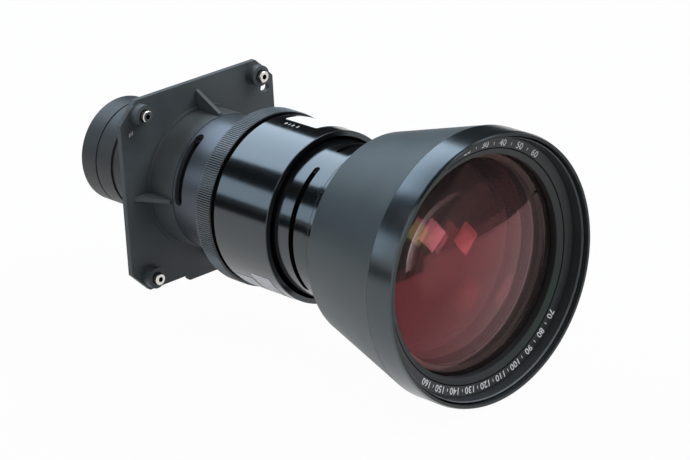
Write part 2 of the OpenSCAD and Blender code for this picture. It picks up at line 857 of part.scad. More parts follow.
module aperture_stop() {
    color("#1b1c1d") on_axis() ring(stack_r, stop_hole_r, stack_5, stack_6);
}

module barrel_spacer_3() {
    color("#1b1c1d") on_axis() ring(stack_r, stack_r - spacer_wall, stack_6, stack_7);
}

module barrel_glass_4() {
    color("#8c7f9a") on_axis() {
        disc(stack_r, stack_7, stack_8);
        dome_front(2 * glass_4_curve, dome_r, stack_8);
        dome_back(glass_4_curve, dome_r, stack_7);
    }
}

module barrel_lock_ring() {
    color("#1b1c1d") on_axis()
        lock_ring(stack_r, stack_r - spacer_wall, stack_8, stack_9, 0);
}

module knurled_ring() {
    color("#2a2c2e") on_axis() rotate_extrude()
        polygon([[focus_bearing_r, knurl_back], [knurl_r - knurl_chamfer, knurl_back],
                 [knurl_r, knurl_back + knurl_chamfer], [knurl_r, knurl_front - knurl_chamfer],
                 [knurl_r - knurl_chamfer, knurl_front], [focus_spigot_r + seat_gap, knurl_front],
                 [focus_spigot_r + seat_gap, focus_spigot_back], [focus_bearing_r, focus_spigot_back]]);
}

module focus_sleeve() {
    spigot_in = focus_spigot_r - focus_spigot_wall;
    color("#17191b") on_axis() difference() {
        rotate_extrude()
            polygon([[spigot_in, focus_spigot_back], [focus_spigot_r, focus_spigot_back],
                     [focus_spigot_r, focus_back], [focus_r - focus_edge, focus_back],
                     [focus_r, focus_back + focus_edge], [focus_r, focus_front - focus_edge],
                     [focus_r - focus_edge, focus_front], [focus_bore_r, focus_front],
                     [focus_bore_r, focus_flange_front], [focus_bearing_r, focus_flange_front],
                     [focus_bearing_r, focus_back], [spigot_in, focus_back]]);
        round_axis(drive_screws_n, 30)
            translate([drive_screw_circle_r, 0, focus_back - cut])
                cylinder(r = drive_screw_r + seat_gap, h = focus_flange_t + 2 * cut);
    }
}

module drive_tube() {
    color("#2a2c2e") on_axis() difference() {
        rotate_extrude()
            polygon([[drive_bore_r, drive_back], [drive_r, drive_back], [drive_r, focus_flange_front],
                     [focus_bore_r - seat_gap, focus_flange_front],
                     [focus_bore_r - seat_gap, drive_front], [drive_bore_r, drive_front]]);
        round_axis(drive_screws_n, 30)
            translate([drive_screw_circle_r, 0, focus_flange_front - cut]) {
                cylinder(r = drive_screw_r + seat_gap, h = drive_flange_t + 2 * cut);
                translate([0, 0, cut + drive_flange_t - drive_head_h])
                    cylinder(r = drive_head_r + seat_gap, h = drive_head_h + cut);
            }
        rotate([0, 0, stop_angle]) outward(arc_z)
            translate([0, 0, drive_bore_r - cut])
                cylinder(r = stop_stem_r + seat_gap, h = drive_wall + 2 * cut);
    }
}

module drive_screws() {
    color("#6a6c6e") on_axis() round_axis(drive_screws_n, 30)
        translate([drive_screw_circle_r, 0, drive_front])
            cap_screw(drive_screw_r, drive_head_r, drive_head_h, drive_screw_l);
}

// A pin with a screwdriver slot in its outer end
module slotted_pin(r, from, to) {
    difference() {
        translate([0, 0, from]) cylinder(r = r, h = to - from);
        translate([-r - cut, -pin_slot_w / 2, to - pin_slot_depth])
            cube([2 * (r + cut), pin_slot_w, pin_slot_depth + cut]);
    }
}

module stop_roller() {
    color("#101112") on_axis() rotate([0, 0, stop_angle]) outward(arc_z) {
        slotted_pin(stop_r, drive_r, sleeve_r - stop_sink);
        translate([0, 0, drive_bore_r + seat_gap])
            cylinder(r = stop_stem_r, h = drive_wall + seat_gap);
    }
}

// A paper label on the glossy sleeve
module label(angle_from, angle_to, back, width) {
    color("#f2f2ef") on_axis() rotate([0, 0, angle_from])
        rotate_extrude(angle = angle_to - angle_from)
            translate([focus_r, back]) square([label_t, width]);
}

module long_label() {
    label(long_label_from, long_label_from + long_label_span, focus_back + long_label_in, long_label_w);
}

module short_label_rear() {
    label(short_label_to - short_rear_span, short_label_to, focus_back + short_label_rear_in, short_label_w);
}

module short_label_front() {
    label(short_label_to - short_front_span, short_label_to, focus_back + short_label_front_in, short_label_w);
}

module ring_slot() {
    half = ring_slot_half_w - slot_ease;
    translate([0, 0, ring_slot_z - half]) rotate([0, 0, ring_slot_from])
        rotate_extrude(angle = ring_slot_span)
            translate([tube_bore_r - cut, 0])
                square([tube_wall + 2 * cut, 2 * half]);
    for (angle = [ring_slot_from, ring_slot_from + ring_slot_span])
        rotate([0, 0, angle]) outward(ring_slot_z)
            translate([0, 0, tube_bore_r - 2 * cut])
                cylinder(r = ring_slot_half_w, h = tube_wall + 4 * cut);
}

module front_tube() {
    color("#1c1e20") on_axis() difference() {
        rotate_extrude()
            polygon([[tail_bore_r, tail_back], [tail_r, tail_back], [tail_r, tube_back],
                     [tube_r, tube_back], [tube_r, tube_front], [tube_bore_r, tube_front],
                     [tube_bore_r, tube_seat_front], [tube_seat_r, tube_seat_front],
                     [tube_seat_r, web_front], [web_hole_r, web_front], [web_hole_r, tube_back],
                     [tail_bore_r, tube_back]]);
        round_axis(ring_slots, 0) ring_slot();
        round_axis(key_count, 30)
            key_block(tail_bore_r - cut, tail_bore_r + key_bed, seat_gap);
    }
}

// A key, or its pocket when grown by a clearance
module key_block(r_in, r_out, grow) {
    half = key_w / 2 - run_gap + grow;
    translate([r_in, -half, tail_back + key_back - grow])
        cube([r_out - r_in, 2 * half, key_l + 2 * grow]);
}

module guide_keys() {
    color("#a8863f") on_axis() round_axis(key_count, 30)
        key_block(barrel_r - key_depth + 2 * run_gap, tail_bore_r + key_bed - seat_gap, 0);
}

module tube_glass() {
    color("#8c7f9a") on_axis()
        hollow_front(tube_glass_curve, tube_glass_r - tube_lock_wall, web_front + tube_glass_t)
            hollow_back(2 * tube_glass_curve, web_hole_r, web_front)
                disc(tube_glass_r, web_front, web_front + tube_glass_t);
}

module tube_lock_ring() {
    from = web_front + tube_glass_t;
    color("#1b1c1d") on_axis()
        lock_ring(tube_glass_r, tube_glass_r - tube_lock_wall, from, from + lock_ring_t, 20);
}

// Inner radius of the bell's cone at a station
function cone_bore_r(station) = bell_back_r + (station - bell_back) * cone_slope_share - bell_wall;

module bell_housing() {
    wall_front = bell_back + bell_wall_t;
    color("#4a5154") on_axis() difference() {
        rotate_extrude()
            polygon([[collar_bore_r, collar_back], [collar_r, collar_back], [collar_r, bell_back],
                     [bell_back_r, bell_back], [band_r, band_back], [band_r, band_front],
                     [band_r - lip_taper, rim_front], [rim_bore_r, rim_front],
                     [rim_bore_r, trim_foot_back], [trim_back_r, trim_foot_back],
                     [trim_back_r, cell_flange_back], [ledge_r, cell_flange_back],
                     [ledge_r, ledge_back], [cone_bore_r(ledge_back), ledge_back],
                     [cone_bore_r(wall_front), wall_front], [collar_bore_r, wall_front]]);
        round_axis(collar_screws_n, collar_screw_angle) outward(collar_back + collar_screw_inset)
            translate([0, 0, collar_bore_r - cut])
                cylinder(r = collar_screw_r + seat_gap, h = collar_wall + 2 * cut);
        round_axis(cell_screws_n, 30)
            translate([cell_screw_circle_r, 0, ledge_back - cut])
                cylinder(r = cell_screw_r + seat_gap, h = ledge_l + 2 * cut);
    }
}

module bell_set_screws() {
    color("#101112") on_axis() round_axis(collar_screws_n, collar_screw_angle)
        outward(collar_back + collar_screw_inset) difference() {
            translate([0, 0, collar_bore_r + seat_gap])
                cylinder(r = collar_screw_r, h = collar_wall - 4 * seat_gap);
            translate([0, 0, collar_r - 3 * seat_gap - collar_hex_depth])
                cylinder(r = collar_hex_w / 2 / cos(30), h = collar_hex_depth + cut, $fn = 6);
        }
}

module front_cell() {
    spigot_back = cell_back - cell_spigot_l;
    shell_1_r = third_seat_r + cell_shell;
    shell_2_r = middle_bore_r + cell_shell;
    shell_3_r = second_seat_r + cell_shell;
    seat_back = second_back - cell_shell;
    color("#141516") on_axis() difference() {
        rotate_extrude()
            polygon([[cell_spigot_bore_r, spigot_back], [cell_spigot_r, spigot_back],
                     [cell_spigot_r, cell_back], [shell_1_r, cell_back],
                     [shell_1_r, third_front], [shell_2_r, third_front + lock_ring_t],
                     [shell_2_r, seat_back - cell_shell], [shell_3_r, seat_back],
                     [shell_3_r, second_front], [cell_neck_r, second_ring_front - overlap],
                     [cell_neck_r, cell_flange_back], [cell_flange_r, cell_flange_back],
                     [cell_flange_r, name_back], [thread_bore_r, name_back],
                     [thread_bore_r, front_ring_back - overlap], [front_seat_r, front_ring_back - overlap],
                     [front_seat_r, front_glass_back], [second_seat_r, front_glass_back],
                     [second_seat_r, second_back], [middle_bore_r, second_back],
                     [middle_bore_r, third_bore_front], [third_seat_r, third_bore_front],
                     [third_seat_r, third_back], [third_light_r, third_back],
                     [cell_spigot_bore_r, cell_back]]);
        round_axis(ring_slots, ring_slot_from + pin_start) outward(ring_slot_z)
            translate([0, 0, cell_spigot_r - pin_root])
                cylinder(r = pin_r + seat_gap, h = pin_root + cut);
        round_axis(cell_screws_n, 30)
            translate([cell_screw_circle_r, 0, cell_flange_back - cut]) {
                cylinder(r = cell_screw_r + seat_gap, h = cell_flange_t + 2 * cut);
                translate([0, 0, cut + cell_screw_seat - cell_flange_back])
                    cylinder(r = cell_screw_head_r + seat_gap, h = cell_flange_t);
            }
    }
}

module cell_screws() {
    length = cell_screw_seat - ledge_back - face_gap;
    color("#6a6c6e") on_axis() round_axis(cell_screws_n, 30)
        translate([cell_screw_circle_r, 0, cell_screw_seat + cell_screw_head_h])
            cap_screw(cell_screw_r, cell_screw_head_r, cell_screw_head_h, length);
}

module slot_pins() {
    color("#101112") on_axis() round_axis(ring_slots, ring_slot_from + pin_start)
        outward(ring_slot_z) slotted_pin(pin_r, cell_spigot_r - pin_root, tube_r - pin_sink);
}

module third_glass() {
    color("#8c7f9a") on_axis()
        hollow_front(2 * third_glass_curve, third_light_r, third_front)
            hollow_back(3 * third_glass_curve, third_light_r, third_back)
                disc(third_glass_r, third_back, third_front);
}

module third_lock_ring() {
    color("#1b1c1d") on_axis()
        lock_ring(third_glass_r, third_light_r, third_front, third_front + lock_ring_t, 60);
}

module second_glass() {
    color("#8c7f9a") on_axis() {
        disc(second_glass_r, second_back, second_front);
        dome_front(second_glass_curve, second_glass_r - second_ring_wall - seat_gap, second_front);
        dome_back(second_glass_curve, middle_bore_r - seat_gap, second_back);
    }
}

module second_lock_ring() {
    color("#3a3030") on_axis()
        lock_ring(second_glass_r, second_glass_r - second_ring_wall, second_front,
                  second_ring_front, second_notch_angle);
}

module front_glass() {
    color("#5c3438") on_axis()
        hollow_back(front_glass_in_r, front_glass_hollow_r, front_glass_back)
            bulge_front(front_glass_out_r, front_glass_r, front_glass_front)
                disc(front_glass_r, front_glass_back, rim_front);
}

module front_retaining_ring() {
    color("#2e3233") on_axis() rotate_extrude()
        polygon([[front_ring_r, front_ring_back], [front_ring_out_r, front_ring_back],
                 [front_ring_out_r, front_ring_front], [front_ring_r, front_ring_front - front_ring_dish]]);
}

module name_ring() {
    color("#43484a") on_axis() rotate_extrude()
        polygon([[name_r, name_back], [cell_flange_r, name_back], [cell_flange_r, name_front],
                 [name_r, name_front - name_dish]]);
}

module trim_ring() {
    outer_r = rim_bore_r - trim_groove_w;
    color("#1a1c1d") on_axis() rotate_extrude()
        polygon([[trim_back_r, trim_foot_back], [rim_bore_r - seat_gap, trim_foot_back],
                 [rim_bore_r - seat_gap, name_front], [outer_r, name_front],
                 [outer_r, name_front + trim_h], [trim_front_r, name_front + trim_h],
                 [trim_back_r, name_front]]);
}

mounting_plate();
captive_screw_top_left();
captive_screw_top_right();
captive_screw_bottom_left();
captive_screw_bottom_right();
fixed_sleeve();
rear_barrel();
flange_screws();
rear_end_ring();
rear_glass();
barrel_glass_1();
barrel_spacer_1();
barrel_glass_2();
barrel_spacer_2();
barrel_glass_3();
aperture_stop();
barrel_spacer_3();
barrel_glass_4();
barrel_lock_ring();
knurled_ring();
focus_sleeve();
drive_tube();
drive_screws();
stop_roller();
long_label();
short_label_rear();
short_label_front();
front_tube();
guide_keys();
tube_glass();
tube_lock_ring();
bell_housing();
bell_set_screws();
front_cell();
cell_screws();
slot_pins();
third_glass();
third_lock_ring();
second_glass();
second_lock_ring();
front_glass();
front_retaining_ring();
name_ring();
trim_ring();
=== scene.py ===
"""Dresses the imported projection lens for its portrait: camera, studio, finishes and the detailed pieces."""
from math import atan2, cos, degrees, hypot, pi, radians, sin, sqrt

import bpy
from mathutils import Matrix, Quaternion, Vector


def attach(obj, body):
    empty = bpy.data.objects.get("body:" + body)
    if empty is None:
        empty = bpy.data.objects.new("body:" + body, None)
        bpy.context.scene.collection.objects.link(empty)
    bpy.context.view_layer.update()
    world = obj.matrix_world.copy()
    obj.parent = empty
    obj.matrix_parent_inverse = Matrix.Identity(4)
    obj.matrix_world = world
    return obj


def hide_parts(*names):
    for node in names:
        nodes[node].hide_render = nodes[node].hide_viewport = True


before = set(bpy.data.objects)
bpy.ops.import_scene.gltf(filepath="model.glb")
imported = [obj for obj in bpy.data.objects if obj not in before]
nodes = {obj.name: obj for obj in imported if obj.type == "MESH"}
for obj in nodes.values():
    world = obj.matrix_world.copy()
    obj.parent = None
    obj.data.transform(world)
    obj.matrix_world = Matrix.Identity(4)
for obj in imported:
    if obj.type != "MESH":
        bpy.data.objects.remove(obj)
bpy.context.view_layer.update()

MM = 0.001
# Sides of a turned piece that asks for no other number
SIDES = 192
# The middle of the lens in metres, at which the studio's lights and cards point
AIM = Vector((0, -0.1, 0))


def place_camera():
    """A long lens, looking down on the front glass from its left, as in the photograph."""
    # Fitted to the plate's outline, the screws and the turned edges in the photograph
    right = Vector((0.72667, -0.68503, -0.05180))
    up = Vector((0.28472, 0.23168, 0.93019))
    place = (-1.15759, -1.40643, 0.66782)
    focal_length = 167.91
    turn = Matrix((right, up, right.cross(up))).transposed().to_4x4()
    data = bpy.data.cameras.new("portrait_camera")
    data.sensor_width = 36
    data.lens = focal_length
    data.clip_start = 0.05
    data.clip_end = 50
    camera = bpy.data.objects.new("portrait_camera", data)
    bpy.context.scene.collection.objects.link(camera)
    camera.matrix_world = Matrix.Translation(place) @ turn
    bpy.context.scene.camera = camera


# Materials

def linear(code):
    """An sRGB hex colour as the linear RGBA that a shader takes."""
    channels = [int(code[i:i + 2], 16) / 255 for i in (1, 3, 5)]
    return tuple(c / 12.92 if c <= 0.04045 else ((c + 0.055) / 1.055) ** 2.4 for c in channels) + (1.0,)


def add_node(tree, kind, settings=None, links=None):
    """Adds a node, sets its sockets or properties by name, and links its inputs."""
    node = tree.nodes.new(kind)
    for name, value in (settings or {}).items():
        if name in node.inputs:
            node.inputs[name].default_value = value
        else:
            setattr(node, name, value)
    for name, socket in (links or {}).items():
        tree.links.new(socket, node.inputs[name])
    return node


def start_material(name, settings):
    """A material with its main shader's sockets set, and the object coordinates to draw patterns in."""
    material = bpy.data.materials.new(name)
    material.use_nodes = True
    tree = material.node_tree
    shader = tree.nodes["Principled BSDF"]
    for socket, value in settings.items():
        shader.inputs[socket].default_value = value
    place = add_node(tree, "ShaderNodeTexCoord").outputs["Object"]
    return material, tree, shader, place


def per_mm(size):
    """The texture scale that gives a feature of this size in millimetres."""
    return 1 / (size * MM)


def two_tone(tree, factor, dark, light, low=0.35, high=0.65):
    """A colour that drifts between two tones of one finish."""
    ramp = add_node(tree, "ShaderNodeValToRGB", {}, {"Fac": factor})
    ramp.color_ramp.elements[0].position = low
    ramp.color_ramp.elements[0].color = linear(dark)
    ramp.color_ramp.elements[1].position = high
    ramp.color_ramp.elements[1].color = linear(light)
    return ramp.outputs["Color"]


def uneven(tree, factor, middle, spread):
    """A value that wanders round its middle, for a sheen that isn't perfectly even."""
    span = add_node(tree, "ShaderNodeMapRange", {"From Min": 0.3, "From Max": 0.7,
                                                 "To Min": middle - spread, "To Max": middle + spread},
                    {"Value": factor})
    return span.outputs["Result"]


def grain(tree, shader, place, size, height, dark, light, rough, spread):
    """Fine blasted or cast grain: bump, a slight drift of colour and an uneven sheen."""
    patch = 22
    fine = add_node(tree, "ShaderNodeTexNoise", {"Scale": per_mm(size), "Detail": 3.0}, {"Vector": place})
    broad = add_node(tree, "ShaderNodeTexNoise", {"Scale": per_mm(patch), "Detail": 4.0}, {"Vector": place})
    bump = add_node(tree, "ShaderNodeBump", {"Strength": 0.35, "Distance": height * MM},
                    {"Height": fine.outputs["Fac"]})
    tree.links.new(two_tone(tree, broad.outputs["Fac"], dark, light), shader.inputs["Base Color"])
    tree.links.new(uneven(tree, broad.outputs["Fac"], rough, spread), shader.inputs["Roughness"])
    tree.links.new(bump.outputs["Normal"], shader.inputs["Normal"])


def turning(tree, shader, place, pitch, height, dark, light, rough, spread):
    """Lathe marks: rings round the axis, drawn as noise that varies only along Y."""
    along = add_node(tree, "ShaderNodeMapping", {"Scale": (6.0, per_mm(pitch), 6.0)}, {"Vector": place})
    rings = add_node(tree, "ShaderNodeTexNoise", {"Scale": 1.0, "Detail": 3.0},
                     {"Vector": along.outputs["Vector"]})
    bump = add_node(tree, "ShaderNodeBump", {"Strength": 0.25, "Distance": height * MM},
                    {"Height": rings.outputs["Fac"]})
    tree.links.new(two_tone(tree, rings.outputs["Fac"], dark, light, 0.3, 0.7), shader.inputs["Base Color"])
    tree.links.new(uneven(tree, rings.outputs["Fac"], rough, spread), shader.inputs["Roughness"])
    tree.links.new(bump.outputs["Normal"], shader.inputs["Normal"])


def blasted_plate_anodising():
    """Cast aluminium, bead blasted and anodised dark: a dead matte with a faint sparkle of grain."""
    material, tree, shader, place = start_material("blasted_plate_anodising", {"IOR": 1.5})
    grain(tree, shader, place, 0.7, 0.05, "#42484b", "#4c5255", 0.58, 0.05)
    return material


def satin_sleeve_anodising():
    """Turned aluminium with a satin violet-grey anodising that holds a broad soft highlight."""
    material, tree, shader, place = start_material("satin_sleeve_anodising", {"Metallic": 0.45})
    turning(tree, shader, place, 0.6, 0.02, "#4a5058", "#545a62", 0.36, 0.04)
    return material


def polished_black_anodising():
    """Turned aluminium, polished and anodised black: a near mirror over black."""
    material, tree, shader, place = start_material("polished_black_anodising", {
        "IOR": 1.75, "Specular Tint": linear("#e4f1f6")})
    turning(tree, shader, place, 0.8, 0.003, "#090b0c", "#0f1112", 0.14, 0.03)
    return material


def matte_black_anodising():
    """Turned aluminium anodised black and left matte, as on the barrel behind the plate."""
    material, tree, shader, place = start_material("matte_black_anodising", {"IOR": 1.5})
    turning(tree, shader, place, 0.6, 0.02, "#262a2b", "#2f3334", 0.5, 0.04)
    return material


def knurl_anodising():
    """Straight-knurled aluminium, black anodised: painted shade makes the roots near black and a painted
    highlight makes the crests a brighter grey.
    """
    root, crest = 52.5, 52.95
    material, tree, shader, place = start_material("knurl_anodising", {"Metallic": 0.1, "IOR": 1.7})
    parts = add_node(tree, "ShaderNodeSeparateXYZ", {}, {"Vector": place})
    across = add_node(tree, "ShaderNodeCombineXYZ", {},
                      {"X": parts.outputs["X"], "Z": parts.outputs["Z"]})
    radius = add_node(tree, "ShaderNodeVectorMath", {"operation": "LENGTH"}, {"Vector": across.outputs[0]})
    crest_highlight = add_node(tree, "ShaderNodeMapRange", {"From Min": root * MM, "From Max": crest * MM},
                    {"Value": radius.outputs["Value"]})
    # Painted highlight on the crests and painted shade in the roots, graded by the distance from the axis
    tree.links.new(two_tone(tree, crest_highlight.outputs["Result"], "#070808", "#5c676c", 0.0, 1.0),
                   shader.inputs["Base Color"])
    tree.links.new(uneven(tree, crest_highlight.outputs["Result"], 0.34, 0.08), shader.inputs["Roughness"])
    return material


def bell_coating():
    """Fine matte lacquer over the spun bell: soft greys with an even sheen."""
    material, tree, shader, place = start_material("bell_coating", {"IOR": 1.5})
    grain(tree, shader, place, 0.8, 0.02, "#374144", "#3e494c", 0.44, 0.03)
    return material


def satin_band_anodising():
    """The turned front band of the bell: the same grey as the cone, but satin, with a long highlight."""
    material, tree, shader, place = start_material("satin_band_anodising", {
        "IOR": 1.85, "Specular Tint": linear("#e0f0f8")})
    turning(tree, shader, place, 0.5, 0.004, "#14181a", "#1a1f21", 0.22, 0.02)
    return material


def rubbed_ridge_anodising():
    """A pale grey painted on a sharp ridge as a painted highlight: it draws the thin light line inside the
    rim.
    """
    material, tree, shader, place = start_material("rubbed_ridge_anodising", {"IOR": 1.5})
    # Pale grey: the painted highlight on the ridge's front
    turning(tree, shader, place, 0.4, 0.004, "#6c7174", "#7a7f82", 0.4, 0.04)
    return material


def grey_ring_anodising():
    """Thin grey ring that locks the second glass, seen through the front one. Its grey is painted much
    lighter than its own, as painted light for the light that the glass in front keeps from it.
    """
    material, tree, shader, place = start_material("grey_ring_anodising", {"IOR": 1.5})
    # Painted light: this grey is far lighter than the ring's own
    turning(tree, shader, place, 0.4, 0.01, "#b4abab", "#c2b9b9", 0.45, 0.04)
    return material


def flat_black_lining():
    """Anti-reflection black inside the lens: almost no sheen."""
    material, tree, shader, place = start_material("flat_black_lining", {
        "IOR": 1.4, "Specular IOR Level": 0.12})
    grain(tree, shader, place, 0.6, 0.03, "#0c0b0b", "#131212", 0.6, 0.05)
    return material


def name_ring_anodising():
    """Turned ring with a matte grey-black finish that carries the printed scale."""
    material, tree, shader, place = start_material("name_ring_anodising", {"IOR": 1.5})
    turning(tree, shader, place, 0.5, 0.01, "#212628", "#2a3032", 0.42, 0.04)
    return material


def nickel_steel():
    """Nickel-plated steel screws, bright with faint turning marks."""
    material, tree, shader, place = start_material("nickel_steel", {"Metallic": 1.0})
    turning(tree, shader, place, 0.3, 0.004, "#d2cfc8", "#e2dfd8", 0.2, 0.05)
    return material


def blackened_steel():
    """Oil-blackened steel of the small screws and pins."""
    material, tree, shader, place = start_material("blackened_steel", {"Metallic": 0.5})
    turning(tree, shader, place, 0.3, 0.004, "#101011", "#181819", 0.45, 0.05)
    return material


def machined_brass():
    """Bare machined brass keys inside the tube."""
    material, tree, shader, place = start_material("machined_brass", {"Metallic": 1.0})
    turning(tree, shader, place, 0.4, 0.006, "#a8863f", "#bb9a52", 0.3, 0.05)
    return material


def optical_glass(name, tint, reflection, specular, clear=1.0):
    """Polished optical glass with an anti-reflection coating that tints what it reflects."""
    material, tree, shader, place = start_material(name, {
        "Base Color": linear(tint), "Transmission Weight": clear, "IOR": 1.52,
        "Specular Tint": linear(reflection), "Specular IOR Level": specular})
    smear_size, most_haze = 40, 0.015
    smear = add_node(tree, "ShaderNodeTexNoise", {"Scale": per_mm(smear_size), "Detail": 2.0},
                     {"Vector": place})
    haze = add_node(tree, "ShaderNodeMapRange", {"To Min": 0.0, "To Max": most_haze},
                    {"Value": smear.outputs["Fac"]})
    tree.links.new(haze.outputs["Result"], shader.inputs["Roughness"])
    return material


def label_paper():
    """Bare white label stock, slightly satin."""
    material, tree, shader, place = start_material("label_paper", {"IOR": 1.45})
    grain(tree, shader, place, 0.5, 0.01, "#f4f5f5", "#fafbfb", 0.5, 0.05)
    return material


def printing_ink():
    """Screen-printed white ink, matte and faintly uneven."""
    material, tree, shader, place = start_material("printing_ink", {"IOR": 1.45})
    grain(tree, shader, place, 0.3, 0.005, "#eef0f0", "#f8fafa", 0.55, 0.05)
    return material


# Modelling

def pick_none():
    """Leaves nothing selected."""
    bpy.ops.object.select_all(action="DESELECT")


def turned(name, profile, sides=SIDES, closed=True):
    """Turns a profile of (radius, station) points in millimetres round the axis, as on a lathe."""
    pick_none()
    radius, station = profile[0]
    bpy.ops.mesh.primitive_circle_add(vertices=sides, radius=radius * MM, rotation=(pi / 2, 0, 0),
                                      location=(0, -station * MM, 0))
    piece = bpy.context.object
    piece.name = name
    bpy.ops.object.transform_apply(location=True, rotation=True, scale=True)
    bpy.ops.object.mode_set(mode="EDIT")
    bpy.ops.mesh.select_all(action="SELECT")
    for next_radius, next_station in profile[1:] + (profile[:1] if closed else []):
        step = (0, (station - next_station) * MM, 0)
        bpy.ops.mesh.extrude_region_move(TRANSFORM_OT_translate={"value": step})
        share = next_radius / radius
        bpy.ops.transform.resize(value=(share, 1, share), center_override=(0, -next_station * MM, 0))
        radius, station = next_radius, next_station
    bpy.ops.mesh.select_all(action="SELECT" if closed else "DESELECT")
    if closed:
        bpy.ops.mesh.remove_doubles(threshold=0.001 * MM)
    else:
        bpy.ops.mesh.select_non_manifold()
        bpy.ops.mesh.fill_holes(sides=0)
        bpy.ops.mesh.select_all(action="SELECT")
    bpy.ops.mesh.normals_make_consistent(inside=False)
    bpy.ops.object.mode_set(mode="OBJECT")
    return piece


def copy_of(node, name):
    """A copy of a CAD node, its doubled points merged and its flat faces joined, ready for finishing."""
    pick_none()
    mesh = nodes[node].data.copy()
    mesh.materials.clear()
    piece = bpy.data.objects.new(name, mesh)
    bpy.context.scene.collection.objects.link(piece)
    bpy.context.view_layer.objects.active = piece
    piece.select_set(True)
    bpy.ops.mesh.customdata_custom_splitnormals_clear()
    bpy.ops.object.mode_set(mode="EDIT")
    bpy.ops.mesh.select_all(action="SELECT")
    bpy.ops.mesh.remove_doubles(threshold=0.005 * MM)
    bpy.ops.mesh.dissolve_limited(angle_limit=radians(0.3))
    bpy.ops.mesh.normals_make_consistent(inside=False)
    bpy.ops.object.mode_set(mode="OBJECT")
    return piece


def activate(piece):
    """Selects one piece alone."""
    pick_none()
    bpy.context.view_layer.objects.active = piece
    piece.select_set(True)


def ease_edges(piece, width, segments=2, angle=30):
    """Breaks the sharp edges by a small round, and keeps the faces beside them flat."""
    activate(piece)
    bpy.ops.object.shade_smooth_by_angle(angle=radians(angle))
    bevel = piece.modifiers.new("eased_edges", "BEVEL")
    bevel.width = width * MM
    bevel.segments = segments
    bevel.limit_method = "ANGLE"
    bevel.angle_limit = radians(angle)
    bevel.harden_normals = True
    bpy.ops.object.modifier_apply(modifier=bevel.name)
    return piece


def cut_out(piece, tool):
    """Cuts a tool's shape out of a piece and throws the tool away."""
    activate(piece)
    cut = piece.modifiers.new("cut", "BOOLEAN")
    cut.operation = "DIFFERENCE"
    cut.solver = "EXACT"
    cut.object = tool
    bpy.ops.object.modifier_apply(modifier=cut.name)
    bpy.data.objects.remove(tool)
    return piece


def another(piece, name):
    """A copy of a modelled piece with its own mesh."""
    twin = piece.copy()
    twin.data = piece.data.copy()
    twin.name = name
    bpy.context.scene.collection.objects.link(twin)
    return twin


def settle(piece, material, slot, body, *stands_for):
    """Gives a finished piece its material and its body, and hides the nodes that it stands for. The slot is
    not used.
    """
    piece.data.materials.clear()
    piece.data.materials.append(material)
    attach(piece, body)
    if stands_for:
        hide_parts(*stands_for)
    return piece


def dress(material, *names):
    """Gives CAD nodes their finish."""
    for name in names:
        mesh = nodes[name].data
        mesh.materials.clear()
        mesh.materials.append(material)


def carry_over(node, name, width, material, slot, body):
    """Settles a copy of a CAD node, with its edges broken, in the node's place."""
    return settle(ease_edges(copy_of(node, name), width), material, slot, body, node)


def off_axis(face):
    """How far a face's middle is from the axis, in millimetres."""
    return hypot(face.center.x, face.center.z) / MM


def station_of(face):
    """How far along the axis a face's middle is, in millimetres towards the front glass."""
    return -face.center.y / MM


def widest(piece):
    """The largest radius of a piece, in millimetres."""
    return max(hypot(point.co.x, point.co.z) for point in piece.data.vertices) / MM


def paint(piece, material, chosen):
    """Gives one more material to the faces of a piece that pass a test."""
    piece.data.materials.append(material)
    for face in piece.data.polygons:
        if chosen(face):
            face.material_index = len(piece.data.materials) - 1


def knurled_grip():
    """The grip ring: straight teeth cut across its rim, between two fine chamfers."""
    teeth = 240
    crest, root = 53.0, 52.4
    back, front, chamfer = 57.5, 70.0, 0.6
    inner, counterbore, shoulder = 41.66, 49.54, 61.0
    piece = turned("knurled_grip", [
        (inner, back), (root - chamfer, back), (root, back + 0.2), (crest, back + chamfer),
        (crest, front - chamfer), (root, front - 0.2), (root - chamfer, front), (counterbore, front),
        (counterbore, shoulder), (inner, shoulder)], sides=4 * teeth)
    bpy.ops.object.mode_set(mode="EDIT")
    bpy.ops.mesh.select_all(action="DESELECT")
    bpy.ops.object.mode_set(mode="OBJECT")
    turn = 360 / (4 * teeth)
    for point in piece.data.vertices:
        side = round(degrees(atan2(point.co.z, point.co.x)) / turn) % 4
        point.select = side in (0, 1) and hypot(point.co.x, point.co.z) > (root + 0.1) * MM
    bpy.ops.object.mode_set(mode="EDIT")
    bpy.ops.mesh.select_mode(type="VERT")
    share = root / crest
    bpy.ops.transform.resize(value=(share, 1, share), center_override=(0, 0, 0))
    bpy.ops.object.mode_set(mode="OBJECT")
    activate(piece)
    bpy.ops.object.shade_smooth_by_angle(angle=radians(12))
    return piece


def sagitta(curve, radius):
    """How deep a ball of this curve dips within this radius."""
    return curve - sqrt(curve * curve - radius * radius)


def lens_element(name, edge_radius, back, front):
    """A glass as a turned disc. Each of its faces is a station, a curve and a radius: a positive curve
    bulges and a negative one is hollow."""
    rings = 22
    # A small flat cap closes the middle of each face
    cap = 0.8

    def ground_face(outward, station, curve, radius):
        """Points from the edge of a ground face to its cap."""
        depth = sagitta(abs(curve), radius)
        points = []
        for ring in range(rings + 1):
            r = radius * (1 - ring / rings) + cap * ring / rings
            rise = depth - sagitta(abs(curve), r)
            points.append((r, station + outward * (rise if curve > 0 else -rise)))
        return points

    profile = list(reversed(ground_face(-1, *back)))
    for station, curve, radius in (back, front):
        if edge_radius - radius > 0.2:
            profile.append((edge_radius, station))
    profile += ground_face(1, *front)
    piece = turned(name, profile, sides=128, closed=False)
    activate(piece)
    bpy.ops.object.shade_smooth_by_angle(angle=radians(20))
    return piece


def outward_at(angle):
    """The direction away from the axis at an angle in degrees, counted from +X towards +Z."""
    turn = radians(angle)
    return Vector((cos(turn), 0, sin(turn)))


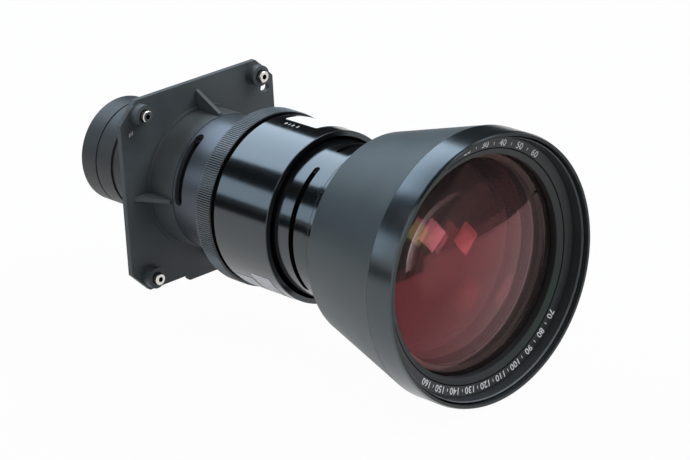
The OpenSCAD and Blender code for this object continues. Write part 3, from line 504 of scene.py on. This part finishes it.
def drill(radius, length, middle, way):
    """A round cutter at a place in millimetres, along a direction."""
    pick_none()
    bpy.ops.mesh.primitive_cylinder_add(vertices=24, radius=radius * MM, depth=length * MM,
                                        location=middle * MM, rotation=way.to_track_quat("Z", "Y").to_euler())
    return bpy.context.object


def blacken_edge(glass, black):
    """Paints the ground edge of a glass black, as lens makers do against stray light."""
    rim = widest(glass)
    paint(glass, black, lambda face: abs(face.normal.y) < 0.5 and off_axis(face) > rim - 0.1)


def bell_shell():
    """The flared housing: its collar, the long cone, the front band and the recess for the rings."""
    collar_bore, collar, cone_start, band = 46.56, 48.56, 60.7, 78.7
    rim_bore, trim_seat, ledge, inner_front, inner_back = 76.3, 73.95, 69.0, 73.59, 58.29
    back, groove, shoulder, band_back, front = 145.5, 147.9, 162.4, 228.4, 247.2
    rim_floor, ledge_front, ledge_back, inner_floor = 234.6, 226.5, 222.5, 166.4
    piece = turned("bell_shell", [
        (collar_bore, back), (collar, back), (collar, groove), (collar - 0.15, groove + 0.15),
        (collar, groove + 0.3), (collar, shoulder), (cone_start, shoulder), (band, band_back),
        (band - 0.12, band_back + 0.1), (band - 0.12, band_back + 0.4), (band, band_back + 0.5),
        (band, front - 2), (band - 0.7, front), (rim_bore, front), (rim_bore, rim_floor),
        (trim_seat, rim_floor), (trim_seat, ledge_front), (ledge, ledge_front), (ledge, ledge_back),
        (inner_front, ledge_back), (inner_back, inner_floor), (collar_bore, inner_floor)])
    ease_edges(piece, 0.25, angle=25)
    # Three threaded holes for the set screws in the collar, and six in the ledge for the cell's screws
    set_hole, set_station = 1.24, 147.2
    cell_hole, cell_circle, cell_station = 1.29, 70.9, 224.5
    drills = []
    for angle in (17.6, 137.6, 257.6):
        outward = outward_at(angle)
        drills.append(drill(set_hole, 5, outward * 47.5 - Vector((0, set_station, 0)), outward))
    for angle in range(30, 390, 60):
        spot = outward_at(angle) * cell_circle - Vector((0, cell_station, 0))
        drills.append(drill(cell_hole, 6, spot, Vector((0, 1, 0))))
    cut_out(piece, join_all("drills", drills))
    weigh = piece.modifiers.new("even_shading", "WEIGHTED_NORMAL")
    weigh.keep_sharp = True
    bpy.ops.object.modifier_apply(modifier=weigh.name)
    return piece


def finish_bell(piece, satin_band, polished, black):
    """Gives the band, the polished collar and the black front face of the lip their own finishes."""
    band_radius, band_back = 77, 228.45
    collar_radius, collar_front = 48.7, 162
    lip, rim_radius, rim_floor = 246.9, 76.6, 230
    paint(piece, satin_band, lambda face: off_axis(face) > band_radius and station_of(face) > band_back)
    paint(piece, polished, lambda face: off_axis(face) < collar_radius and station_of(face) < collar_front)
    paint(piece, black, lambda face: station_of(face) > lip
          or off_axis(face) < rim_radius and station_of(face) > rim_floor)


def blacken_seam(piece, black):
    """Darkens the broken edges where the name ring and the retaining ring meet."""
    seam, half_width = 67.5, 0.5
    paint(piece, black, lambda face: abs(off_axis(face) - seam) < half_width)


def blacken_inside(piece, black):
    """Leaves only the outermost skin of a tube polished: its bore and tail are flat black."""
    skin = widest(piece) - 0.5
    paint(piece, black, lambda face: off_axis(face) < skin)


def finish_ridge(piece, pale):
    """Gives the front of the ridge inside the rim a painted highlight, paler than its sides."""
    start = 243.5
    activate(piece)
    bpy.ops.object.mode_set(mode="EDIT")
    bpy.ops.mesh.select_all(action="SELECT")
    bpy.ops.mesh.bisect(plane_co=(0, -start * MM, 0), plane_no=(0, 1, 0))
    bpy.ops.object.mode_set(mode="OBJECT")
    paint(piece, pale, lambda face: station_of(face) > start)


def socket_screw():
    """A captive socket-head screw: bright head with a hexagon, thin waist and rolled thread."""
    head, waist, thread, root = 3.5, 1.45, 2.0, 1.7
    pitch, turns = 0.7, 5
    head_back, head_front = 8.5, 12.5
    hexagon_flat, hexagon_depth = 3.0, 2.0
    profile = [(1.1, -5.0), (1.6, -4.9)]
    station = -4.7
    for _ in range(turns):
        profile += [(root, station), (thread, station + 0.3 * pitch), (thread, station + 0.45 * pitch),
                    (root, station + 0.75 * pitch)]
        station += pitch
    profile += [(thread, -1.3), (waist, -1.1), (waist, head_back), (head - 0.15, head_back), (head, 8.7),
                (head, 12.1), (head - 0.4, head_front), (0.5, head_front)]
    piece = turned("socket_screw", profile, sides=48, closed=False)
    pick_none()
    bpy.ops.mesh.primitive_cylinder_add(vertices=6, radius=hexagon_flat / 2 / cos(radians(30)) * MM,
                                        depth=2 * hexagon_depth * MM, rotation=(pi / 2, 0, 0),
                                        location=(0, -head_front * MM, 0))
    hexagon = bpy.context.object
    bpy.ops.object.transform_apply(location=True, rotation=True, scale=True)
    cut_out(piece, hexagon)
    return ease_edges(piece, 0.12, angle=40)


def finish_socket(piece, black):
    """Blackens the walls and floor of the hexagon as painted shade in the socket."""
    corner, below_floor, under_rim = 1.7, 10, 12.4
    paint(piece, black, lambda face: off_axis(face) < corner and below_floor < station_of(face) < under_rim)


def round_corners(node, name):
    """A label copied from its node, with the corners of the paper rounded."""
    corner = 1.0
    piece = copy_of(node, name)
    bpy.ops.object.mode_set(mode="EDIT")
    bpy.ops.mesh.select_mode(type="EDGE")
    bpy.ops.mesh.select_all(action="DESELECT")
    bpy.ops.object.mode_set(mode="OBJECT")
    points = [v.co for v in piece.data.vertices]
    angles = [atan2(p.z, p.x) % (2 * pi) for p in points]
    first, last = min(angles), max(angles)
    near, far = min(p.y for p in points), max(p.y for p in points)
    for edge in piece.data.edges:
        a, b = (points[i] for i in edge.vertices)
        radial = abs(hypot(a.x, a.z) - hypot(b.x, b.z)) > 0.1 * MM
        turn = atan2(a.z, a.x) % (2 * pi)
        at_end = min(abs(turn - first), abs(turn - last)) < 0.001
        edge.select = radial and at_end and min(abs(a.y - near), abs(a.y - far)) < 0.01 * MM
    bpy.ops.object.mode_set(mode="EDIT")
    bpy.ops.mesh.bevel(offset=corner * MM, segments=5, affect="EDGES")
    bpy.ops.object.mode_set(mode="OBJECT")
    bpy.ops.object.shade_smooth_by_angle(angle=radians(30))
    return piece


def stroke(name, width, length, thick):
    """One small printed stroke, a thin plate with eased edges, lying at the origin and facing +Z."""
    pick_none()
    bpy.ops.mesh.primitive_plane_add(size=1)
    mark = bpy.context.object
    mark.name = name
    mark.scale = (width * MM, length * MM, 1)
    bpy.ops.object.transform_apply(location=True, rotation=True, scale=True)
    bpy.ops.object.mode_set(mode="EDIT")
    bpy.ops.mesh.select_all(action="SELECT")
    bpy.ops.mesh.bevel(offset=0.3 * width * MM, segments=2, affect="VERTICES")
    bpy.ops.mesh.extrude_region_move(TRANSFORM_OT_translate={"value": (0, 0, thick * MM)})
    bpy.ops.mesh.select_all(action="SELECT")
    bpy.ops.mesh.normals_make_consistent(inside=False)
    bpy.ops.object.mode_set(mode="OBJECT")
    return mark


def numeral(text, height, thick):
    """A printed number at the origin, facing +Z, as a mesh."""
    pick_none()
    bpy.ops.object.text_add()
    words = bpy.context.object
    words.data.body = text
    words.data.size = height * 1.4 * MM
    words.data.extrude = thick / 2 * MM
    words.data.align_x = "CENTER"
    words.data.align_y = "CENTER"
    words.data.resolution_u = 3
    # Thickens the strokes, as ink spreads
    words.data.offset = 0.06 * MM
    bpy.ops.object.convert(target="MESH")
    return bpy.context.object


def join_all(name, parts):
    """Joins several meshes into one, with their places in its mesh."""
    pick_none()
    for part in parts:
        part.select_set(True)
    bpy.context.view_layer.objects.active = parts[0]
    bpy.ops.object.join()
    piece = bpy.context.object
    piece.name = name
    bpy.ops.object.transform_apply(location=True, rotation=True, scale=True)
    return piece


def ring_scale():
    """The plain printed scale on the name ring: numbers in two groups, with a tick between each two numbers
    of a group.
    """
    front, outer, inner, dish = 237.8, 73.91, 67.55, 1.0
    middle, height, ink_depth = 70.4, 3.9, 0.06
    slope = atan2(dish, outer - inner)
    lift = 0.02

    def on_ring(mark, angle):
        """Lays a mark on the dished face, its top outward, at an angle seen from the front."""
        station = front - dish * (outer - middle) / (outer - inner) + lift
        outward = outward_at(angle)
        face = Vector((0, -1, 0)) * cos(slope) - outward * sin(slope)
        up = face.cross(outward.cross(face)).normalized()
        across = up.cross(face).normalized()
        mark.matrix_world = Matrix.Translation(outward * middle * MM + Vector((0, -station * MM, 0))) @ \
            Matrix((across, up, face)).transposed().to_4x4()

    marks = []
    tick = stroke("tick", 0.45, 1.8, ink_depth)
    for first, last, values in ((107, 50, range(10, 70, 10)), (-40, -130, range(70, 170, 10))):
        step = (last - first) / (len(values) - 1)
        for place, value in enumerate(values):
            mark = numeral(str(value), height, ink_depth)
            on_ring(mark, first + step * place)
            marks.append(mark)
            if place:
                line = another(tick, "tick")
                on_ring(line, first + step * (place - 0.5))
                marks.append(line)
    bpy.data.objects.remove(tick)
    return join_all("ring_scale", marks)


def sleeve_figures():
    """Four small printed figures beside the long label."""
    surface, angle = 51.49, 93
    marks = []
    outward = outward_at(angle)
    along = Vector((0, -1, 0))
    across = outward.cross(along)
    for figure, station in enumerate((85, 88, 91, 95)):
        mark = numeral(str(figure), 2.2, 0.05)
        mark.matrix_world = Matrix.Translation(outward * surface * MM + along * station * MM) @ \
            Matrix((along, across, outward)).transposed().to_4x4()
        marks.append(mark)
    return join_all("sleeve_index", marks)


def plate_ticks():
    """Three tiny engraved and filled strokes on the plate, under the upper left screw."""
    plate_front, lean = 3.49, -12
    marks = []
    tick = stroke("tick", 0.4, 2.4, 0.06)
    for x, z in ((-51.4, 40.9), (-52.6, 40.5), (-53.8, 40.0)):
        mark = another(tick, "tick")
        mark.matrix_world = Matrix.Translation((x * MM, -plate_front * MM, z * MM)) @ \
            Matrix.Rotation(pi / 2, 4, "X") @ Matrix.Rotation(radians(lean), 4, "Z")
        marks.append(mark)
    bpy.data.objects.remove(tick)
    return join_all("plate_index", marks)


# Studio

def camera_sees(tree):
    """One where the camera, a mirror or glass looks, and zero for light that falls on the lens."""
    path = add_node(tree, "ShaderNodeLightPath")
    either = add_node(tree, "ShaderNodeMath", {"operation": "MAXIMUM"})
    tree.links.new(path.outputs["Is Camera Ray"], either.inputs[0])
    tree.links.new(path.outputs["Is Glossy Ray"], either.inputs[1])
    any_ray = add_node(tree, "ShaderNodeMath", {"operation": "MAXIMUM"})
    tree.links.new(either.outputs[0], any_ray.inputs[0])
    tree.links.new(path.outputs["Is Transmission Ray"], any_ray.inputs[1])
    return any_ray.outputs[0]


def studio_floor():
    """A pale sweep that the lens stands over: white to the camera, with the shadow kept."""
    # Just under the bell, the widest piece
    height = -0.0795
    pick_none()
    bpy.ops.mesh.primitive_plane_add(size=14, location=(0, 0, height))
    floor = bpy.context.object
    floor.name = "studio_floor"
    bpy.ops.object.transform_apply(location=True, rotation=True, scale=True)
    material = bpy.data.materials.new("white_sweep")
    material.use_nodes = True
    tree = material.node_tree
    tree.nodes.clear()
    share = add_node(tree, "ShaderNodeMath", {"operation": "MULTIPLY"})
    tree.links.new(camera_sees(tree), share.inputs[0])
    share.inputs[1].default_value = 0.97
    paper = add_node(tree, "ShaderNodeBsdfDiffuse", {"Color": linear("#bababa")})
    glow = add_node(tree, "ShaderNodeEmission", {"Color": (1, 1, 1, 1), "Strength": 1.0})
    mix = add_node(tree, "ShaderNodeMixShader", {}, {"Fac": share.outputs[0]})
    tree.links.new(paper.outputs[0], mix.inputs[1])
    tree.links.new(glow.outputs[0], mix.inputs[2])
    out = add_node(tree, "ShaderNodeOutputMaterial")
    tree.links.new(mix.outputs[0], out.inputs["Surface"])
    floor.data.materials.append(material)


def studio_world():
    """Pale surroundings: white where the camera, a mirror or glass sees them, dimmer as light."""
    world = bpy.data.worlds.new("studio_world")
    bpy.context.scene.world = world
    world.use_nodes = True
    tree = world.node_tree
    tree.nodes.clear()
    level = add_node(tree, "ShaderNodeMapRange", {"To Min": 0.35, "To Max": 1.0},
                     {"Value": camera_sees(tree)})
    light = add_node(tree, "ShaderNodeBackground", {"Color": (1, 1, 1, 1)},
                     {"Strength": level.outputs["Result"]})
    out = add_node(tree, "ShaderNodeOutputWorld")
    tree.links.new(light.outputs[0], out.inputs["Surface"])


def round_lens(azimuth, elevation, distance):
    """A point that far from the lens, at an azimuth counted from +X and an elevation."""
    a, e = radians(azimuth), radians(elevation)
    return Vector((cos(e) * cos(a), cos(e) * sin(a), sin(e))) * distance + AIM


def softbox(name, place, width, height, radiance, colour="#ffffff", roll=0):
    """A rectangular softbox at a place, facing the lens, with its brightness as a surface radiance. The
    camera doesn't see it."""
    data = bpy.data.lights.new(name, "AREA")
    data.shape = "RECTANGLE"
    data.size = width
    data.size_y = height
    data.energy = radiance * width * height * pi
    data.color = linear(colour)[:3]
    lamp = bpy.data.objects.new(name, data)
    bpy.context.scene.collection.objects.link(lamp)
    lamp.location = place
    facing = (AIM - Vector(place)).to_track_quat("-Z", "Y")
    lamp.rotation_euler = (facing @ Quaternion((0, 0, 1), radians(roll))).to_euler()
    lamp.visible_camera = False
    return lamp


def flag(name, place, width, height, cloth):
    """A black card that keeps the white surroundings out of the gloss, as in a product studio."""
    pick_none()
    bpy.ops.mesh.primitive_plane_add(size=1)
    card = bpy.context.object
    card.name = name
    card.scale = (width, height, 1)
    card.rotation_euler = (AIM - Vector(place)).to_track_quat("Z", "Y").to_euler()
    card.location = place
    bpy.ops.object.transform_apply(location=True, rotation=True, scale=True)
    card.data.materials.append(cloth)
    card.visible_camera = False
    card.visible_diffuse = False
    card.visible_shadow = False


def flag_cloth():
    """Black cloth of the studio cards."""
    material, tree, shader, place = start_material("flag_cloth", {})
    grain(tree, shader, place, 2.0, 0.1, "#050505", "#0a0a0a", 0.9, 0.02)
    return material


# The scene, from here on: camera, floor and surroundings, then lights and black cards
bpy.context.scene.view_settings.view_transform = "Standard"
place_camera()
studio_floor()
studio_world()
softbox("back_softbox", round_lens(84, 42, 1.6), 1.35, 0.8, 4.6, "#d9ecff")
softbox("left_softbox", round_lens(131, 17, 1.7), 0.7, 0.45, 2.6, "#d9ecff")
softbox("top_softbox", (0.7, -0.6, 1.9), 1.6, 1.6, 2.8)
softbox("right_softbox", (0.75, -0.55, 0.75), 0.6, 0.6, 4.5, "#e6f2ff")
# Small lights before the glass, which show only as the coloured patches of its coatings
for name, place, size, radiance, colour in (
        ("red_card", (0.107, -0.4, -0.025), 0.035, 2.4, "#ffd0d0"),
        ("pink_card", (0.039, -0.4, 0.001), 0.034, 7.0, "#ccf0f0"),
        ("green_card", (0.014, -0.4, 0.011), 0.027, 5.0, "#4aff30")):
    glint = softbox(name, place, size, size, radiance, colour, roll=40)
    glint.visible_diffuse = False
black_cloth = flag_cloth()
flag("back_flag", round_lens(83, 25, 2.4), 6.6, 2.4, black_cloth)
flag("front_flag", (0.17, -0.42, 0.16), 0.9, 0.5, black_cloth)
flag("left_front_flag", (-0.1, -0.44, 0.05), 0.34, 0.3, black_cloth)
flag("low_flag", (-0.35, 1.1, 0.01), 3.2, 0.26, black_cloth)
flag("top_flag", (0.0, 0.3, 2.6), 3.4, 3.4, black_cloth)

blasted = blasted_plate_anodising()
satin = satin_sleeve_anodising()
gloss = polished_black_anodising()
matte = matte_black_anodising()
lining = flat_black_lining()
nickel = nickel_steel()
black_steel = blackened_steel()
inner_glass = optical_glass("inner_glass", "#d8dad8", "#ff8088", 0.02)
green_coating = optical_glass("green_coated_glass", "#d8dad8", "#a8d860", 0.15)
# A little dust on the front face scatters light, so it is not quite clear
front_coating = optical_glass("coated_front_glass", "#e6cccc", "#ff5a6c", 0.4, 0.965)
paper = label_paper()
ink = printing_ink()

# The cast and turned pieces
carry_over("mounting_plate", "cast_plate", 0.35, blasted, "plate_anodised", "mount")
carry_over("fixed_sleeve", "satin_sleeve", 0.2, satin, "sleeve_anodised", "mount")
carry_over("rear_barrel", "register_barrel", 0.2, matte, "matte_black", "mount")
carry_over("rear_end_ring", "rear_cap_ring", 0.25, matte, "matte_black", "mount")
settle(knurled_grip(), knurl_anodising(), "matte_black", "focus", "knurled_ring")
carry_over("focus_sleeve", "focus_barrel", 0.12, gloss, "gloss_black", "focus")
blacken_inside(carry_over("front_tube", "slotted_tube", 0.2, gloss, "gloss_black", "front_group"), lining)
finish_bell(settle(bell_shell(), bell_coating(), "bell_coated", "bell", "bell_housing"),
            satin_band_anodising(), gloss, matte)
finish_ridge(carry_over("trim_ring", "rim_ridge_ring", 0.15, matte, "gloss_black", "bell"),
             rubbed_ridge_anodising())
blacken_seam(carry_over("name_ring", "scale_ring", 0.35, name_ring_anodising(), "name_grey", "bell"), lining)
blacken_seam(carry_over("front_retaining_ring", "front_glass_ring", 0.35, matte, "matte_black", "bell"),
             lining)
carry_over("second_lock_ring", "second_glass_ring", 0.2, grey_ring_anodising(), "inner_black", "bell")
# Printed marks
settle(ring_scale(), ink, "label_paper", "bell")
settle(sleeve_figures(), ink, "label_paper", "focus")
settle(plate_ticks(), ink, "label_paper", "mount")

# Each glass's edge radius, then its back and its front face
for glass, coating, slot, body, node in (
        (lens_element("front_element", 65.9, (223.46, -180, 61), (229.46, 220, 65.9)),
         front_coating, "coated_glass", "bell", "front_glass"),
        (lens_element("second_element", 61.5, (205.96, 230, 56.46), (217.96, 230, 58.71)),
         inner_glass, "inner_glass", "bell", "second_glass"),
        (lens_element("third_element", 50, (180, -450, 46.5), (188, -300, 46.5)),
         inner_glass, "inner_glass", "bell", "third_glass"),
        (lens_element("tube_element", 39.9, (106, -360, 31), (114, -180, 36.4)),
         green_coating, "inner_glass", "front_group", "tube_glass")):
    blacken_edge(settle(glass, coating, slot, body, node), lining)

# One captive screw is modelled, and a copy goes to each corner of the plate
screw = socket_screw()
screw_x, screw_z = 45.85, 51.4
for corner, side, level in (("top_left", -1, 1), ("top_right", 1, 1), ("bottom_left", -1, -1),
                            ("bottom_right", 1, -1)):
    piece = another(screw, "screw_" + corner)
    settle(piece, nickel, "screw_steel", "captive_screw_" + corner, "captive_screw_" + corner)
    finish_socket(piece, black_steel)
    activate(piece)
    piece.location = (side * screw_x * MM, 0, level * screw_z * MM)
    bpy.ops.object.transform_apply(location=True, rotation=False, scale=False)
bpy.data.objects.remove(screw)

for label in ("long_label", "short_label_rear", "short_label_front"):
    settle(round_corners(label, label + "_paper"), paper, "label_paper", "focus", label)

# Pieces that keep their CAD shape, because they are hidden or plain
dress(lining, "drive_tube", "barrel_spacer_1", "barrel_spacer_2", "barrel_spacer_3", "aperture_stop",
      "barrel_lock_ring", "tube_lock_ring", "front_cell", "third_lock_ring")
dress(black_steel, "flange_screws", "drive_screws", "cell_screws", "bell_set_screws")
dress(lining, "slot_pins", "stop_roller")
dress(machined_brass(), "guide_keys")
dress(inner_glass, "rear_glass", "barrel_glass_1", "barrel_glass_2", "barrel_glass_3", "barrel_glass_4")
